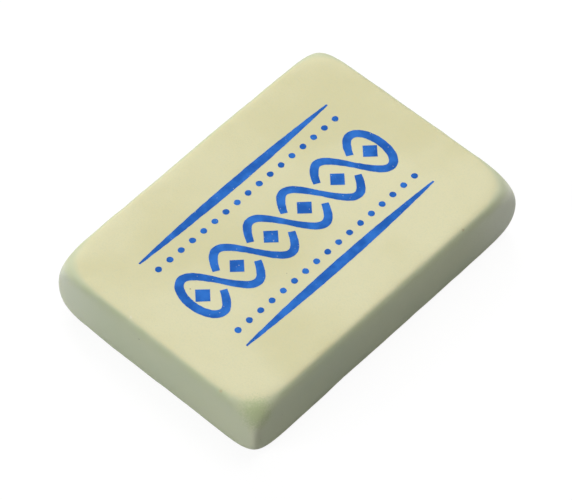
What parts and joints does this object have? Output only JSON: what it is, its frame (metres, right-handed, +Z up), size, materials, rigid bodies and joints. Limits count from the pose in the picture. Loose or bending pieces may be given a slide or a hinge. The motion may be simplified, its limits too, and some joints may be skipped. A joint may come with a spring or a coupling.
{
  "type": "eraser",
  "caption": "Small block eraser of soft ivory rubber with gently bulged walls and tumbled edges and corners, for rubbing out pencil; it lies flat on either broad face.",
  "frame": {"origin": "middle of the lower flat face, on the surface that the eraser lies on", "axes": "+X along the length, +Y across the width, +Z up from the lower flat face to the printed one"},
  "size_m": [0.04, 0.0282, 0.0076],
  "materials": {
    "ivory_rubber": "matt, finely grained",
    "blue_ink": "thin printed film, satin"
  },
  "bodies": {
    "root": {"eraser": "ivory_rubber"}
  },
  "joints": []
}
